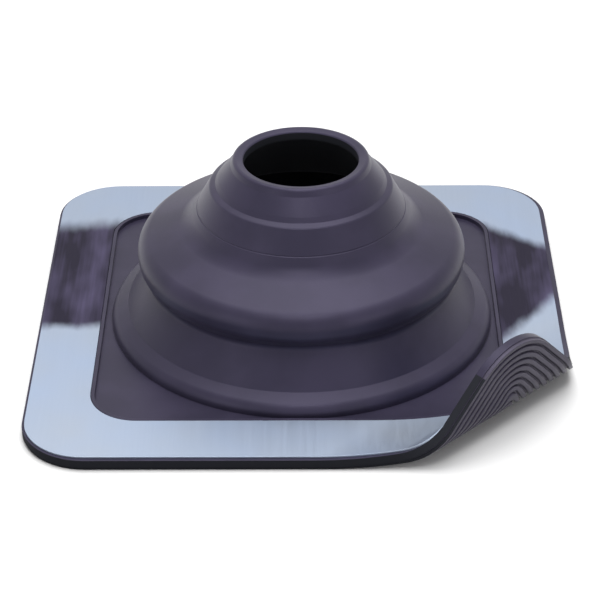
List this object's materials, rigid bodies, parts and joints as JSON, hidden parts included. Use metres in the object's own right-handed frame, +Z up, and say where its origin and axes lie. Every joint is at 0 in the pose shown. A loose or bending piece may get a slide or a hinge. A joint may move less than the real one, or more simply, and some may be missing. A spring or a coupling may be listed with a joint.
{
  "type": "pipe flashing boot",
  "caption": "Stepped rubber boot on a square ribbed flange with a soft aluminium rim, for sealing a round pipe where it passes through a roof.",
  "frame": {"origin": "on the boot's axis, in the plane of the ribbed underside", "axes": "+Z up along the boot's axis, out of the hole for the pipe; -Y towards the front edge of the flange; the lifted corner of the flange is at +X -Y"},
  "size_m": [0.2803, 0.2803, 0.0995],
  "materials": {
    "rubber": "satin moulded",
    "aluminium": "soft rolled sheet"
  },
  "bodies": {
    "root": {"rubber_boot": "rubber", "aluminium_frame": "aluminium"}
  },
  "joints": []
}
